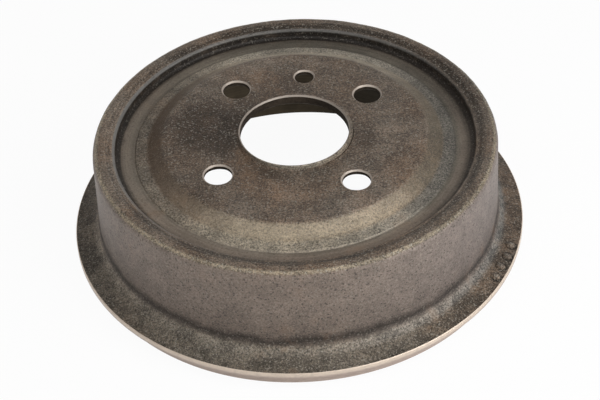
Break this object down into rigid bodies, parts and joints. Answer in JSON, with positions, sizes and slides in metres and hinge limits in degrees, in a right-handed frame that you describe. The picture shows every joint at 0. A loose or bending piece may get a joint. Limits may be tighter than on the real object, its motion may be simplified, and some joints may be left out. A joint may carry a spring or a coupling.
{
  "type": "brake drum",
  "caption": "Cast iron brake drum with a stepped web, a bored hub face, stud holes, a deep friction wall and a wide flange near its open end.",
  "frame": {"origin": "centre of the open end's face, on the drum's axis", "axes": "+Z along the drum's axis, from the open end to the web; +Y through the locating screw's hole"},
  "size_m": [0.2418, 0.2418, 0.069],
  "materials": {
    "cast_iron": "sand-cast skin, dark grey-brown, with bare turned edges"
  },
  "bodies": {
    "root": {"brake_drum": "cast_iron"}
  },
  "joints": []
}
